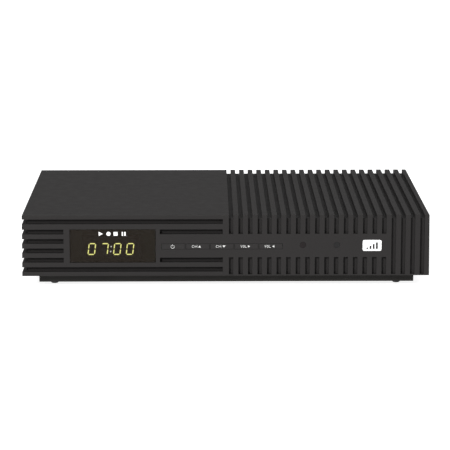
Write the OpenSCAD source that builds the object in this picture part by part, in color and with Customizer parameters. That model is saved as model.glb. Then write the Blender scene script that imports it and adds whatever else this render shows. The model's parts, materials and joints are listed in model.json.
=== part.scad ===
// Set-top video recorder: ribbed moulded case, clock display, five sprung keys, rear sockets,
// receiver board and a 2.5 inch drive.
// Frame: +X to the right seen from the front, the front faces -Y, +Z up. The origin is on the
// surface it stands on, under the middle of the whole recorder. Millimetres.

/* [Case] */
// Width over the side walls
body_w = 256; // [254:1:260]
// Depth of the upper shell, front face to rear edge
body_d = 156; // [156:1:164]
// Height of the upper shell
shell_h = 39; // [39:0.5:42]
// Height of the recessed plinth under the shell
plinth_h = 6; // [5.5:0.5:8]
// Inset of the plinth behind the sides and front of the shell
plinth_inset = 9.4; // [9:0.1:11]
// Offset of the plinth to the right of the middle
plinth_shift = 0.5; // [0:0.1:0.6]
// Height of the rubber feet
foot_h = 3; // [2:0.5:5]
// Lean of each side wall, inwards from its lower edge to the top
side_draft = 0.4; // [0:0.1:0.6]

/* [Ribs and slots] */
// Centre distance of the ribs
rib_pitch = 6; // [5.8:0.05:6]
// Width of each groove between the ribs
groove_w = 2.75; // [2:0.05:3]
// Depth of the grooves
groove_depth = 2.7; // [1.5:0.1:2.9]
// Number of grooves
groove_count = 21; // [18:1:21]
// Number of grooves that stop at the control band
band_grooves = 17; // [10:1:18]
// Height of the rim that closes the grooves at the lower edge of the shell
groove_lip = 0.8; // [0.6:0.1:2]
// Solid edge to the right of the last groove
rib_edge = 3.3; // [3.2:0.1:5]
// Number of horizontal slots at the left end
slot_count = 6; // [4:1:6]
// Height of each horizontal slot
slot_w = 3; // [2:0.1:3.2]
// Depth of the horizontal slots
slot_depth = 3.2; // [2:0.1:3.5]

/* [Front] */
// Width of the display window
window_w = 53.8; // [50:0.2:55]
// Height of the display window
window_h = 21.3; // [19:0.1:21.5]
// Height of the display digits
digit_h = 7.8; // [6:0.1:9]
// Centre distance of the keys
key_pitch = 15.3; // [15:0.05:15.5]
// Height of each key
key_h = 3.3; // [2.6:0.1:3.4]
// Travel of each key
key_travel = 0.5; // [0.2:0.1:0.6]

/* [Rear] */
// Reach of the aerial sockets behind the shell
socket_reach = 9; // [7:0.5:12]
// Tilt of the power rocker to each side
rocker_tilt = 9; // [5:1:9]

/* [Hidden] */
$fn = 48;

// Cuts run past a surface by this much
cut = 1;
// Gap between pieces that only lie beside each other, and between pieces pressed together
gap = 0.2;
slack = 0.02;

// Levels
plinth_z = foot_h;
shell_z = foot_h + plinth_h;
top_z = shell_z + shell_h;
tray_t = 2;
floor_z = plinth_z + tray_t;
flange_top = shell_z + tray_t;

// Front and rear faces of the shell
front_y = -(body_d + socket_reach) / 2;
rear_y = front_y + body_d;
half_w = body_w / 2;

// Shell walls
wall_top = 4.5;
wall_front = 5;
wall_left = 5.2;
wall_right = 3.5;
ceiling_z = top_z - wall_top;
inner_left = -half_w + wall_left;
inner_right = half_w - wall_right;
inner_front = front_y + wall_front;

// Grooves and slots
last_groove_x = half_w - rib_edge - groove_w / 2;
first_groove_x = last_groove_x - (groove_count - 1) * rib_pitch;
band_top = top_z - 12.2;
band_bottom = top_z - 27.2;
side_slot_depth = 3.6;
first_slot = 4.25;
second_slot = 10.75;
slot_pitch = 6.03;
slot_left_end = -101.7;
slot_mid_start = -41.3;
slot_right_end = -1.9;

// Display
window_x = -70.9;
window_z = top_z - 19.8;
lens_recess = 0.4;
lens_t = 1.8;
lens_flange_t = 1;
lens_flange = 1.4;
module_y = front_y + 3.4;
module_size = [37, 7, 15.5];
display_x = -72.2;
display_z = top_z - 22.4;
digit_pitch = 8;
digit_w = 4.7;
segment_t = 0.7;
digit_slant = 7;

// Keys: position of the row, wall thickness there, and clearances
key_row_x = -40.6;
key_z = top_z - 20.15;
key_web = 0.5;
key_clear = 0.15;
band_t = 2;
key_flange = 1;
key_flange_t = 1;
board_y = front_y + 10.4;
board_t = 1.6;
switch_size = 6;
switch_depth = 3.5;
plunger_r = 1.75;
plunger_reach = 1.5;
plunger_in = 1;

// Small round windows in the control band
ir_x = 48.35;
lamp_x = 69.65;
round_r = 1.9;
round_z = top_z - 19.35;

// Front board and its screws
front_board_x = [-109, 84];
front_board_z = [13.5, 40];
front_boss_x = [-104.5, 79.5];
front_boss_z = [18.5, 36];

// Plinth pan and the posts that join shell and tray
pan_half = half_w - plinth_inset - tray_t;
pan_x = [-pan_half + plinth_shift, pan_half + plinth_shift];
pan_front = front_y + plinth_inset + tray_t;
pan_rear = rear_y - 3;
post_x = pan_half - 4;
post_y = [front_y + 32, rear_y - 34];
post_r = 3.5;
post_z = 8;
foot_x = half_w - 18.9;
foot_y = [front_y + 20.5, rear_y - 14];
floor_vent_w = 3;
floor_vent_pitch = 8;

// Rear panel
panel_y = rear_y - 2;
panel_t = 1;
panel_out = panel_y + panel_t;
panel_post_x = [-108, -52, 108];
panel_post_z = 18;
panel_vent_pitch = 5;
panel_vent_w = 2.2;

// Main board
main_x = [-26, 102];
main_y = [rear_y - 123.5, rear_y - 3.2];
main_z = floor_z + 5;
main_top = main_z + board_t;
main_screws = [[-21, -45], [97, -45], [-21, 44], [97, 26]];
processor_c = [30, -10];
cell_c = [83, -28];

// Rear sockets, centre of each along X
aerial_x = [90, 72];
aerial_z = main_top + 7.4;
aerial_r = 4.76;
aerial_root_r = 4.6;
nut_t = 3;
nut_r = 6.35;
nut_gap = 0.5;
optical_x = 55;
hdmi_x = 38;
usb_x = 21;
ethernet_x = 3;
inlet_x = -15;
rocker_x = -36;
rocker_z = 26;
socket_face = rear_y - 0.3;
can_x = [62, 100];
can_y = [rear_y - 40.5, rear_y - 3.5];
can_h = 14.5;

// Optical socket flap
flap_t = 0.8;
flap_pin_r = 0.5;
flap_y = socket_face - 0.9;
flap_z = main_top + 9;

// Power rocker
rocker_y = rear_y - 4;
rocker_pin_r = 1;

// Drive
drive_x = [-105.9, -36.1];
drive_y = [-44, 56.3];
drive_z = floor_z + 5;
drive_h = 9.5;
drive_cover_t = 0.6;
platter_c = [-71, drive_y[1] - 36];
platter_r = 32.5;
arm_pivot = [platter_c[0] - 18, platter_c[1] - 36.5];
arm_reach = 36;
arm_park = 9;
drive_screw_y = [drive_y[0] + 14, drive_y[0] + 90.6];
bracket_t = 1;
bracket_h = 8;
bracket_ear_x = [-101, -41];
bracket_ear_y = [-49, 61];

// Screws
screw_head_r = 2.6;
screw_head_t = 1.6;
screw_r = 1.25;
screw_len = 5;
screw_hole_r = 1.3;
screw_pass_r = 1.6;
case_screw_head_z = plinth_z + 0.2;
case_screw_head_r = 2.75;
case_screw_head_t = 2;
case_screw_r = 1.5;
case_screw_top = 18;

// ---- Shared shapes ----

// Box between two values on each axis
module span(x, y, z)
    translate([x[0], y[0], z[0]])
        cube([x[1] - x[0], y[1] - y[0], z[1] - z[0]]);

// Round bar along +Y between two values
module bar_y(r, y)
    translate([0, y[0], 0])
        rotate([-90, 0, 0])
            cylinder(r = r, h = y[1] - y[0]);

// Round bar along +X between two values
module bar_x(r, x)
    translate([x[0], 0, 0])
        rotate([0, 90, 0])
            cylinder(r = r, h = x[1] - x[0]);

// Rectangle with round corners, centred
module round_rect(w, d, r) {
    square([w - 2 * r, d], center = true);
    square([w, d - 2 * r], center = true);
    for (sx = [-1, 1], sy = [-1, 1])
        translate([sx * (w / 2 - r), sy * (d / 2 - r)])
            circle(r = r);
}

// Limits of a slice of width w centred on c
function around(c, w) = [c - w / 2, c + w / 2];

function key_x(k) = key_row_x + (k + 0.5) * key_pitch;
function slot_z(k) = top_z - (k == 0 ? first_slot : second_slot + (k - 1) * slot_pitch);

// ---- Case ----

// Cross-section of the shell, widening slightly towards its lower edge
module shell_section()
    polygon([
        [-half_w + side_draft, top_z], [half_w - side_draft, top_z],
        [half_w, shell_z], [-half_w, shell_z]]);

// Grooves that run along the top and turn down over the front edge
module rib_grooves()
    for (k = [0 : groove_count - 1]) {
        across = around(first_groove_x + k * rib_pitch, groove_w);
        deep = [front_y - cut, front_y + groove_depth];
        span(across, [front_y - cut, rear_y + cut], [top_z - groove_depth, top_z + cut]);
        if (k < band_grooves) {
            span(across, deep, [band_top, top_z]);
            span(across, deep, [shell_z + groove_lip, band_bottom]);
        }
        else
            span(across, deep, [shell_z + groove_lip, top_z]);
    }

// Horizontal slots of the left end, which wrap round the corner and along the side
module left_slots() {
    deep = [front_y - cut, front_y + slot_depth];
    for (k = [0 : slot_count - 1]) {
        up = around(slot_z(k), slot_w);
        full = k == 0 || k == slot_count - 1;
        span([-half_w - cut, -half_w + side_slot_depth], [front_y - cut, rear_y + cut], up);
        span([-half_w - cut, full ? slot_right_end : slot_left_end], deep, up);
    }
    for (k = [1, slot_count - 2])
        span([slot_mid_start, slot_right_end], deep, around(slot_z(k), slot_w));
}

// Opening for the display lens, with a wider rebate behind it
module window_opening() {
    rebate = 2 * (lens_flange + gap);
    span(around(window_x, window_w), [front_y - cut, inner_front + cut],
        around(window_z, window_h));
    span(around(window_x, window_w + rebate), [front_y + lens_recess + lens_t, inner_front + cut],
        around(window_z, window_h + rebate));
}

// Key windows, and the pocket that thins the wall behind them
module key_openings() {
    for (k = [0 : 4])
        span(around(key_x(k), key_pitch - key_web), [front_y - cut, inner_front],
            around(key_z, key_h + 2 * key_clear));
    span([key_row_x - 1.5, key_row_x + 5 * key_pitch + 1.5], [front_y + band_t, inner_front + cut],
        around(key_z, key_h + 6));
}

module top_shell()
    color("#33322f")
    difference() {
        union() {
            difference() {
                translate([0, rear_y, 0])
                    rotate([90, 0, 0])
                        linear_extrude(body_d)
                            shell_section();
                span([inner_left, inner_right], [inner_front, rear_y + cut],
                    [shell_z - cut, ceiling_z]);
                rib_grooves();
                left_slots();
                window_opening();
                key_openings();
                for (x = [ir_x, lamp_x])
                    translate([x, 0, round_z])
                        bar_y(round_r + 0.05, [front_y - cut, inner_front + cut]);
            }
            for (x = [-post_x, post_x], y = post_y)
                translate([x, y, post_z])
                    cylinder(r = post_r, h = ceiling_z - post_z + cut);
            for (x = front_boss_x, z = front_boss_z)
                translate([x, 0, z])
                    bar_y(3, [inner_front - cut, board_y]);
        }
        for (x = [-post_x, post_x], y = post_y)
            translate([x, y, post_z - cut])
                cylinder(r = case_screw_r + 0.05, h = case_screw_top - post_z + 3);
        for (x = front_boss_x, z = front_boss_z)
            translate([x, 0, z])
                bar_y(screw_hole_r, [board_y - 4, board_y + cut]);
    }

// Louvres through the pan floor, one round-ended slot each
module floor_vents(x_list, y)
    for (x = x_list)
        translate([x, (y[0] + y[1]) / 2, plinth_z - cut])
            linear_extrude(tray_t + 2 * cut)
                round_rect(floor_vent_w, y[1] - y[0], floor_vent_w / 2 - 0.01);

module base_tray()
    color("#22221f")
    difference() {
        union() {
            span([pan_x[0] - tray_t, pan_x[1] + tray_t], [pan_front - tray_t, panel_out],
                [plinth_z, flange_top]);
            span([inner_left + gap, inner_right - 0.7], [inner_front + gap, panel_out],
                [shell_z, flange_top]);
        }
        difference() {
            span(pan_x, [pan_front, pan_rear], [floor_z, flange_top + cut]);
            for (p = main_screws)
                translate([p[0], p[1], plinth_z])
                    cylinder(r = 3, h = main_z - plinth_z);
            for (x = bracket_ear_x, y = bracket_ear_y)
                translate([x, y, plinth_z])
                    cylinder(r = 3, h = drive_z - bracket_t - plinth_z);
            for (x = [-post_x, post_x], y = post_y)
                translate([x, y, plinth_z])
                    cylinder(r = 3.9, h = post_z - plinth_z);
            for (x = panel_post_x)
                span(around(x, 8), [panel_y - 7, panel_y], [plinth_z, flange_top]);
        }
        for (p = main_screws)
            translate([p[0], p[1], main_top - screw_len - gap])
                cylinder(r = screw_hole_r, h = screw_len);
        for (x = bracket_ear_x, y = bracket_ear_y)
            translate([x, y, drive_z - screw_len - gap])
                cylinder(r = screw_hole_r, h = screw_len);
        for (x = [-post_x, post_x], y = post_y)
            translate([x, y, plinth_z - cut]) {
                cylinder(r = case_screw_head_r + gap,
                    h = case_screw_head_z + case_screw_head_t - plinth_z + cut);
                cylinder(r = case_screw_r + 0.25, h = 2 * post_z);
            }
        for (x = [-foot_x, foot_x], y = foot_y)
            translate([x, y, plinth_z - cut])
                cylinder(r = 2.05, h = tray_t + 2 * cut);
        floor_vents([for (k = [0 : 7]) -99 + floor_vent_pitch * k], [-34, 48]);
        floor_vents([for (k = [0 : 9]) 4 + floor_vent_pitch * k], [-36, 20]);
    }

// Post that a panel screw goes into, standing on the tray behind the rear panel
module panel_posts()
    for (x = panel_post_x)
        difference() {
            span(around(x, 8), [panel_y - 7, panel_y], [flange_top, panel_post_z + 4]);
            translate([x, 0, panel_post_z])
                bar_y(screw_hole_r, [panel_out - screw_len - gap, panel_y + cut]);
        }

module tray_with_posts() {
    base_tray();
    color("#22221f") panel_posts();
}

// Cut-out in the rear panel around a rectangular socket
module panel_hole(x, z, w, h)
    span(around(x, w + 2 * gap), [panel_y - cut, panel_out + cut], around(z, h + 2 * gap));

// Row of upright round-ended slots through the rear panel, from the one at x
module panel_vents(count, x, z, h)
    for (k = [0 : count - 1])
        translate([x + panel_vent_pitch * k, panel_y - cut, z])
            rotate([-90, 0, 0])
                linear_extrude(panel_t + 2 * cut)
                    round_rect(panel_vent_w, h, panel_vent_w / 2 - 0.01);

module rear_panel()
    color("#262626")
    difference() {
        span([inner_left + gap, inner_right - 0.7], [panel_y, panel_out],
            [flange_top, ceiling_z - gap]);
        for (x = aerial_x)
            translate([x, 0, aerial_z])
                bar_y(aerial_root_r + gap, [panel_y - cut, panel_out + cut]);
        panel_hole(optical_x, main_top + 5.4, 10.4, 10.8);
        panel_hole(hdmi_x, main_top + 3, 15, 5.8);
        panel_hole(usb_x, main_top + 3.2, 13.2, 6);
        panel_hole(ethernet_x, main_top + 6.8, 16, 13.6);
        panel_hole(inlet_x, main_top + 5.6, 9, 11.2);
        panel_hole(rocker_x, rocker_z, 9, 14);
        for (x = panel_post_x)
            translate([x, 0, panel_post_z])
                bar_y(screw_pass_r, [panel_y - cut, panel_out + cut]);
        panel_vents(11, -102, 31, 14);
        panel_vents(14, -8, 35.5, 8);
    }

// Rubber foot pushed into the tray floor: tapered pad, stem and retaining head
module foot(x, y)
    color("#1a1a1a")
    translate([x, y, 0]) {
        cylinder(r1 = 2.2, r2 = 4.3, h = foot_h);
        translate([0, 0, foot_h])
            cylinder(r = 2, h = tray_t);
        translate([0, 0, foot_h + tray_t])
            cylinder(r1 = 3, r2 = 1.6, h = 1.4);
    }

// ---- Front pieces ----

module display_window()
    color("#24211e")
    union() {
        face_y = front_y + lens_recess;
        back_y = face_y + lens_t + lens_flange_t;
        span(around(window_x, window_w - gap), [face_y, back_y],
            around(window_z, window_h - gap));
        span(around(window_x, window_w + 2 * lens_flange), [face_y + lens_t + slack, back_y],
            around(window_z, window_h + 2 * lens_flange));
    }

// Dark insert over the infra-red receiver, stepped so that it can't fall out
module ir_window()
    color("#1c1012")
    translate([ir_x, 0, round_z]) {
        bar_y(round_r, [front_y + 0.1, inner_front]);
        bar_y(round_r + 0.8, [inner_front, inner_front + 1]);
    }

module light_pipe()
    color("#2b2b2b")
    translate([lamp_x, 0, round_z]) {
        bar_y(round_r, [front_y + 0.1, inner_front]);
        bar_y(round_r + 0.8, [inner_front, inner_front + 1]);
        bar_y(1.4, [inner_front + 1, board_y - 2.6]);
    }

// Key cap: face in its window, flange behind the wall, stem to the switch
module key(k)
    color("#33322f")
    translate([key_x(k), 0, key_z]) {
        back_y = front_y + band_t + key_clear;
        span(around(0, key_pitch - key_web - 2 * key_clear), [front_y, back_y],
            around(0, key_h));
        span(around(0, key_pitch - key_web - 2 * key_clear), [back_y, back_y + key_flange_t],
            around(0, key_h + 2 * key_flange));
        bar_y(1.4, [back_y + key_flange_t, board_y - switch_depth - plunger_reach]);
    }

module plunger(k)
    color("#8c2f2a")
    translate([key_x(k), 0, key_z])
        bar_y(plunger_r, [board_y - switch_depth - plunger_reach,
            board_y - switch_depth + plunger_in]);

module switch_body(k)
    color("#3a3a3c")
    translate([key_x(k), 0, key_z])
    difference() {
        span(around(0, switch_size), [board_y - switch_depth, board_y], around(0, switch_size));
        bar_y(plunger_r + 0.08, [board_y - switch_depth - cut,
            board_y - switch_depth + plunger_in + key_travel + 0.5]);
    }

module front_board()
    color("#1f4a2c")
    difference() {
        span(front_board_x, [board_y, board_y + board_t], front_board_z);
        for (x = front_boss_x, z = front_boss_z)
            translate([x, 0, z])
                bar_y(screw_pass_r, [board_y - cut, board_y + board_t + cut]);
    }

module display_module()
    color("#1b1b1b")
    translate([display_x, module_y, display_z])
        span(around(0, module_size[0]), [0, module_size[1]], around(0, module_size[2]));

// One bar of a digit, lying along +X from its left end
module segment(len)
    polygon([
        [0, 0], [segment_t / 2, segment_t / 2], [len - segment_t / 2, segment_t / 2],
        [len, 0], [len - segment_t / 2, -segment_t / 2], [segment_t / 2, -segment_t / 2]]);

// The seven bars of one upright digit, centred, in the X-Z plane drawn as X-Y
module digit_bars() {
    w = digit_w - segment_t;
    h = (digit_h - segment_t) / 2;
    inset = 0.12;
    for (row = [-1 : 1])
        translate([-w / 2 + inset, row * h])
            segment(w - 2 * inset);
    for (side = [-1, 1], half = [0, 1])
        translate([side * w / 2, (half - 1) * h + inset])
            rotate(90)
                segment(h - 2 * inset);
}

// Light guides of four digits and a colon, slanted to the right
module display_segments()
    color("#e2e28c")
    translate([display_x, module_y, display_z])
        rotate([90, 0, 0])
            linear_extrude(0.1)
                multmatrix([[1, tan(digit_slant), 0, 0], [0, 1, 0, 0]]) {
                    for (k = [0 : 3])
                        translate([(k - 1.5) * digit_pitch, 0])
                            digit_bars();
                    for (dy = [-1.6, 1.6])
                        translate([0, dy])
                            circle(r = 0.5);
                }

module ir_receiver()
    color("#202020")
    translate([ir_x, 0, round_z]) {
        span(around(0, 7), [board_y - 3, board_y], around(0, 6));
        bar_y(2, [board_y - 4.2, board_y - 3]);
    }

module status_lamp()
    color("#d8d8d0")
    translate([lamp_x, 0, round_z]) {
        bar_y(1.5, [board_y - 2.4, board_y - 0.8]);
        bar_y(1.9, [board_y - 0.8, board_y]);
    }

// Flat cable between the two boards, with a plug at each end
module front_ribbon() {
    x = around(30, 20);
    board_back = board_y + board_t;
    plug_y = [main_y[0] + 2, main_y[0] + 7];
    color("#e8e4d8") {
        span(around(30, 22), [board_back, board_back + 5], [24, 30]);
        span(around(30, 22), plug_y, [main_top, main_top + 6]);
    }
    color("#c9c9c9") {
        span(x, [board_back + 5, main_y[0] + 4.5], [26.8, 27.2]);
        span(x, [main_y[0] + 4.1, main_y[0] + 4.5], [main_top + 6, 26.8]);
    }
}

// ---- Main board ----

module main_board()
    color("#1f4a2c")
    difference() {
        span(main_x, main_y, [main_z, main_top]);
        for (p = main_screws)
            translate([p[0], p[1], main_z - cut])
                cylinder(r = screw_pass_r, h = board_t + 2 * cut);
    }

module processor()
    color("#2a2a2c")
    translate([processor_c[0], processor_c[1], main_top]) {
        translate([0, 0, 0.4])
            linear_extrude(1.2)
                round_rect(21, 21, 0.6);
        linear_extrude(0.4)
            square(19.5, center = true);
    }

module heatsink()
    color("#9a9ca0")
    translate([processor_c[0], processor_c[1], main_top + 1.6]) {
        fins = 9;
        size = 38;
        linear_extrude(2.5)
            square(size, center = true);
        for (k = [0 : fins - 1])
            span(around((k - (fins - 1) / 2) * (size - 1.2) / (fins - 1), 1.2),
                around(0, size), [2.5, 16]);
    }

module memory_chips()
    color("#222224")
    for (y = [-22, -6, 10])
        translate([62, y, main_top])
            linear_extrude(1.1)
                square([11, 9], center = true);

// Screening can of the tuner: five thin walls with a row of holes in the lid
module tuner_can()
    color("#b9bcc0")
    difference() {
        span(can_x, can_y, [main_top, main_top + can_h]);
        span([can_x[0] + 0.5, can_x[1] - 0.5], [can_y[0] + 0.5, can_y[1] - 0.5],
            [main_top - cut, main_top + can_h - 0.5]);
        for (ix = [0 : 4], iy = [0 : 3])
            translate([can_x[0] + 7 + 6 * ix, can_y[0] + 8 + 6 * iy, main_top + can_h - cut])
                cylinder(r = 1.2, h = 2 * cut, $fn = 24);
    }

module cell_holder()
    color("#1d1d1d")
    translate([cell_c[0], cell_c[1], main_top])
    difference() {
        union() {
            cylinder(r = 11.6, h = 4.4);
            span([-13.5, 13.5], [-4, 4], [0, 3]);
        }
        translate([0, 0, 1])
            cylinder(r = 10.1, h = 4);
    }

module clock_cell()
    color("#c4c6c8")
    translate([cell_c[0], cell_c[1], main_top + 1]) {
        cylinder(r = 9.2, h = 0.5);
        translate([0, 0, 0.5])
            cylinder(r = 10, h = 2.7);
    }

// Round capacitors beside the power inlet: two large, four small
module capacitors()
    color("#26303f") {
        for (k = [0, 1])
            translate([-16 + 12 * k, 28, main_top])
                cylinder(r = 5, h = 12.5);
        for (k = [0 : 3])
            translate([10 + 8.5 * k, 32, main_top])
                cylinder(r = 3.1, h = 8);
    }

module inductors()
    color("#4a4a4c")
    for (k = [0 : 2])
        translate([-14, 12 - 13 * k, main_top])
            linear_extrude(5)
                round_rect(10, 10, 2);

// ---- Rear sockets ----

// Threaded aerial socket: flange against the can, barrel, insulator with the contact hole
module aerial_socket(x) {
    flange_y = [can_y[1], panel_y - 0.1];
    barrel_y = [panel_out + nut_t + nut_gap, rear_y + socket_reach];
    color("#c9b873")
    translate([x, 0, aerial_z])
    difference() {
        union() {
            bar_y(6.2, flange_y);
            bar_y(aerial_root_r, [flange_y[1], barrel_y[0]]);
            bar_y(aerial_r, barrel_y);
        }
        bar_y(3.6, [panel_out, barrel_y[1] + cut]);
    }
    color("#f0efe8")
    translate([x, 0, aerial_z])
    difference() {
        bar_y(3.6, [panel_out, barrel_y[1] - 0.8]);
        bar_y(0.6, [panel_out + 3, barrel_y[1]]);
    }
}

// Hexagon nuts that hold the aerial sockets to the panel
module socket_nuts()
    color("#c4c6c8")
    for (x = aerial_x)
        translate([x, 0, aerial_z])
        difference() {
            translate([0, panel_out, 0])
                rotate([-90, 0, 0])
                    cylinder(r = nut_r, h = nut_t, $fn = 6);
            bar_y(aerial_root_r + 0.05, [panel_out - cut, panel_out + nut_t + cut]);
        }

module hdmi_socket()
    translate([hdmi_x, 0, main_top]) {
        depth = 12;
        color("#b9bcc0")
        difference() {
            span(around(0, 15), [socket_face - depth, socket_face], [0.1, 5.9]);
            translate([0, socket_face + cut, 3])
                rotate([90, 0, 0])
                    linear_extrude(depth - 1 + cut)
                        polygon([
                            [-7, 2.3], [7, 2.3], [7, -0.6], [5.6, -2.3], [-5.6, -2.3], [-7, -0.6]]);
        }
        color("#1b1b1b")
            span(around(0, 10), [socket_face - depth + 1, socket_face - 2], [3.2, 4.3]);
    }

module usb_socket()
    translate([usb_x, 0, main_top]) {
        depth = 14;
        color("#b9bcc0")
        difference() {
            span(around(0, 13.2), [socket_face - depth, socket_face], [0.2, 6.2]);
            span(around(0, 12.3), [socket_face - depth + 1, socket_face + cut], [0.65, 5.75]);
        }
        color("#2463a8")
            span(around(0, 11), [socket_face - depth + 1, socket_face - 1], [3.6, 5.4]);
    }

module ethernet_socket()
    color("#a9acb0")
    translate([ethernet_x, 0, main_top])
    difference() {
        span(around(0, 16), [socket_face - 21, socket_face], [0, 13.6]);
        span(around(0, 11.8), [socket_face - 14, socket_face + cut], [3.6, 11.6]);
        span(around(0, 6.2), [socket_face - 14, socket_face + cut], [2, 3.7]);
        span(around(0, 4), [socket_face - 14, socket_face + cut], [0.9, 2.1]);
    }

module optical_socket()
    color("#1b1b1b")
    translate([optical_x, 0, 0])
    difference() {
        span(around(0, 10.4), [socket_face - 14, socket_face], [main_top, main_top + 10.8]);
        span(around(0, 8.6), [socket_face - 11, socket_face + cut],
            [main_top + 1.2, main_top + 9.8]);
        translate([0, flap_y, flap_z])
            bar_x(flap_pin_r + 0.05, around(0, 9.6));
    }

// Flap that closes the optical socket, on two pins near its top edge
module optical_flap()
    color("#2a2a2a")
    translate([optical_x, flap_y, flap_z]) {
        span(around(0, 8.2), around(0, flap_t), [-7.6, 0]);
        bar_x(flap_pin_r, around(0, 9.2));
    }

module power_inlet()
    translate([inlet_x, 0, main_top]) {
        color("#1b1b1b")
        difference() {
            span(around(0, 9), [socket_face - 14, socket_face], [0, 11.2]);
            translate([0, 0, 6.4])
                bar_y(2.9, [socket_face - 9.5, socket_face + cut]);
        }
        color("#c9b873")
        translate([0, 0, 6.4])
            bar_y(1, [socket_face - 9.5, socket_face - 0.8]);
    }

module rocker_housing()
    color("#1e1e1e")
    translate([rocker_x, 0, rocker_z])
    difference() {
        union() {
            span(around(0, 9), [panel_y - 11, panel_out], around(0, 14));
            span(around(0, 11), [panel_out, panel_out + 1.4], around(0, 16));
            for (z = [-4, 4])
                span(around(0, 4), [panel_y - 13, panel_y - 11], around(z, 0.8));
        }
        span(around(0, 6.8), [rocker_y - 3.4, panel_out + 2], around(0, 12.2));
        translate([0, rocker_y, 0])
            bar_x(rocker_pin_r + 0.05, around(0, 8.4));
    }

// Two-position rocker, resting with its upper half pressed in
module power_rocker()
    color("#151515")
    translate([rocker_x, rocker_y, rocker_z])
    rotate([rocker_tilt, 0, 0]) {
        rotate([90, 0, 90])
            translate([0, 0, -3.2])
                linear_extrude(6.4)
                    polygon([[4.6, -5], [3.5, 0], [4.6, 5], [-1.2, 4], [-1.2, -4]]);
        bar_x(rocker_pin_r, around(0, 8));
    }

// ---- Drive ----

module drive_casting()
    color("#8f9194")
    difference() {
        centre = [(drive_x[0] + drive_x[1]) / 2, (drive_y[0] + drive_y[1]) / 2];
        top = drive_z + drive_h - drive_cover_t;
        cavity_z = drive_z + 2.4;
        translate([centre[0], centre[1], drive_z])
            linear_extrude(top - drive_z)
                round_rect(drive_x[1] - drive_x[0], drive_y[1] - drive_y[0], 2);
        difference() {
            union() {
                translate([platter_c[0], platter_c[1], cavity_z])
                    cylinder(r = platter_r + 0.6, h = drive_h);
                span([platter_c[0] - 30, platter_c[0] + 30],
                    [arm_pivot[1] - 11.4, platter_c[1]], [cavity_z, drive_z + 2 * drive_h]);
            }
            translate([platter_c[0], platter_c[1], drive_z])
                cylinder(r = 3, h = 7);
            translate([arm_pivot[0], arm_pivot[1], drive_z])
                cylinder(r = 2, h = 7.6);
        }
        // Recess for the circuit board underneath
        span([centre[0] - 31, centre[0] + 31], [drive_y[0] + 6, drive_y[0] + 50],
            [drive_z - cut, drive_z + 1.3]);
        for (x = drive_x, y = drive_screw_y)
            translate([0, y, drive_z + 3])
                bar_x(screw_hole_r, around(x, 9));
    }

module drive_cover()
    color("#b9bcc0")
    translate([(drive_x[0] + drive_x[1]) / 2, (drive_y[0] + drive_y[1]) / 2,
        drive_z + drive_h - drive_cover_t])
        linear_extrude(drive_cover_t)
            round_rect(drive_x[1] - drive_x[0] - 1, drive_y[1] - drive_y[0] - 1, 2);

module drive_platter()
    color("#d7d9dc")
    translate([platter_c[0], platter_c[1], drive_z])
    difference() {
        union() {
            translate([0, 0, 4.4])
                cylinder(r = platter_r, h = 0.8);
            translate([0, 0, 2.8])
                cylinder(r = 10, h = 4.4);
        }
        cylinder(r = 3.05, h = drive_h);
    }

// Head arm on its pivot, parked beside the platter, with the coil behind the pivot
module drive_arm()
    color("#a8abaf")
    translate([arm_pivot[0], arm_pivot[1], drive_z])
    rotate(arm_park)
    difference() {
        union() {
            translate([0, 0, 2.8])
                cylinder(r = 4.6, h = 4.6);
            translate([0, 0, 5.8])
                linear_extrude(0.8)
                    polygon([[0, -4], [arm_reach - 4, -1.2], [arm_reach, -0.8],
                        [arm_reach, 0.8], [arm_reach - 4, 1.2], [0, 4]]);
            translate([0, 0, 4.2])
                linear_extrude(2)
                    polygon([[0, -4], [0, 4], [-9, 5], [-10.4, 0], [-9, -5]]);
        }
        cylinder(r = 2.05, h = drive_h);
    }

module drive_board()
    color("#1c5a3a")
    span([platter_c[0] - 30.8, platter_c[0] + 30.8], [drive_y[0] + 6.2, drive_y[0] + 49.8],
        [drive_z + 0.2, drive_z + 1.2]);

// Sheet-metal tray under the drive, with two side walls and four ears
module drive_bracket()
    color("#a9acb0")
    difference() {
        x = [drive_x[0] - gap, drive_x[1] + gap];
        y = [drive_y[0] + 4, drive_y[1] - 3];
        wall_z = [drive_z - bracket_t, drive_z + bracket_h];
        floor_top = drive_z - slack;
        union() {
            span([x[0] - bracket_t, x[1] + bracket_t], y, [drive_z - bracket_t, floor_top]);
            span([x[0] - bracket_t, x[0]], y, wall_z);
            span([x[1], x[1] + bracket_t], y, wall_z);
            for (ex = bracket_ear_x)
                span(around(ex, 9), [bracket_ear_y[0] - 4, bracket_ear_y[1] + 3.2],
                    [drive_z - bracket_t, floor_top]);
        }
        for (ex = bracket_ear_x, y = bracket_ear_y)
            translate([ex, y, 0])
                cylinder(r = screw_pass_r, h = top_z);
        for (ex = [x[0] - bracket_t / 2, x[1] + bracket_t / 2], y = drive_screw_y)
            translate([0, y, drive_z + 3])
                bar_x(screw_pass_r, around(ex, 3));
    }

// Data cable from the end of the drive to the main board, with a plug at each end
module drive_cable() {
    plug_x = around(-70, 34);
    run_y = drive_y[0] - 8;
    board_x = -12;
    color("#1d1d1d") {
        span(plug_x, [drive_y[0] - 6, drive_y[0] - 0.1], [drive_z + 0.5, drive_z + 6]);
        span(around(board_x, 12), [-44, -38], [main_top, main_top + 8]);
    }
    color("#8c2320") {
        span([plug_x[0] + 8, board_x + 0.6], [run_y, run_y + 1.2], [drive_z + 2, drive_z + 9.5]);
        span([plug_x[0] + 8, plug_x[0] + 9.2], [run_y + 1.2, drive_y[0] - 6],
            [drive_z + 2, drive_z + 6]);
        span([board_x - 0.6, board_x + 0.6], [run_y + 1.2, -44], [main_top + 1, main_top + 7.9]);
    }
}

// ---- Fasteners ----

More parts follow.
